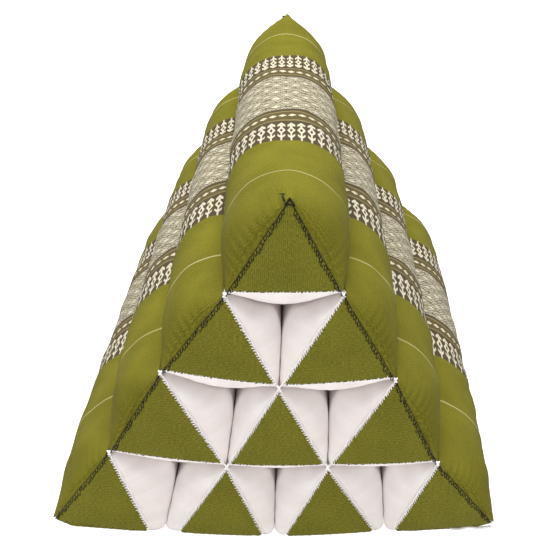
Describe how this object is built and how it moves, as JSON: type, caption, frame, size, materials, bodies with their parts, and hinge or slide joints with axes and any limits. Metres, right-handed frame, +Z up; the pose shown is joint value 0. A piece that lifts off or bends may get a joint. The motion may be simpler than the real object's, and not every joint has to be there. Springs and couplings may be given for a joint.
{
  "type": "thai triangle cushion",
  "caption": "Wedge-shaped floor cushion of filled triangular tubes sewn side by side, with patterned cover strips and triangular end panels.",
  "frame": {"origin": "centre of the flat underside, on the surface that the cushion lies on", "axes": "+Z up, from the base to the ridge; +Y along the tubes, with the front end panels facing -Y; +X across the base"},
  "size_m": [0.3591, 0.5236, 0.2923],
  "materials": {
    "cream_muslin": "plain undyed cotton muslin, matt",
    "green_cotton": "fine ribbed cotton, olive green, matt",
    "patterned_cotton": "woven cotton, olive green with taupe and cream bands, matt"
  },
  "bodies": {
    "root": {"tube_1_1": "cream_muslin", "tube_2_1": "cream_muslin", "tube_2_2": "cream_muslin", "tube_3_1": "cream_muslin", "tube_3_2": "cream_muslin", "tube_3_3": "cream_muslin", "tube_4_1": "cream_muslin", "tube_4_2": "cream_muslin", "tube_4_3": "cream_muslin", "tube_4_4": "cream_muslin", "cover_1": "patterned_cotton", "cover_2_left": "patterned_cotton", "cover_2_right": "patterned_cotton", "cover_3_left": "patterned_cotton", "cover_3_right": "patterned_cotton", "cover_4_left": "patterned_cotton", "cover_4_right": "patterned_cotton", "panel_front_1_1": "green_cotton", "panel_front_2_1": "green_cotton", "panel_front_2_2": "green_cotton", "panel_front_3_1": "green_cotton", "panel_front_3_2": "green_cotton", "panel_front_3_3": "green_cotton", "panel_front_4_1": "green_cotton", "panel_front_4_2": "green_cotton", "panel_front_4_3": "green_cotton", "panel_front_4_4": "green_cotton", "panel_back_1_1": "green_cotton", "panel_back_2_1": "green_cotton", "panel_back_2_2": "green_cotton", "panel_back_3_1": "green_cotton", "panel_back_3_2": "green_cotton", "panel_back_3_3": "green_cotton", "panel_back_4_1": "green_cotton", "panel_back_4_2": "green_cotton", "panel_back_4_3": "green_cotton", "panel_back_4_4": "green_cotton"}
  },
  "joints": []
}
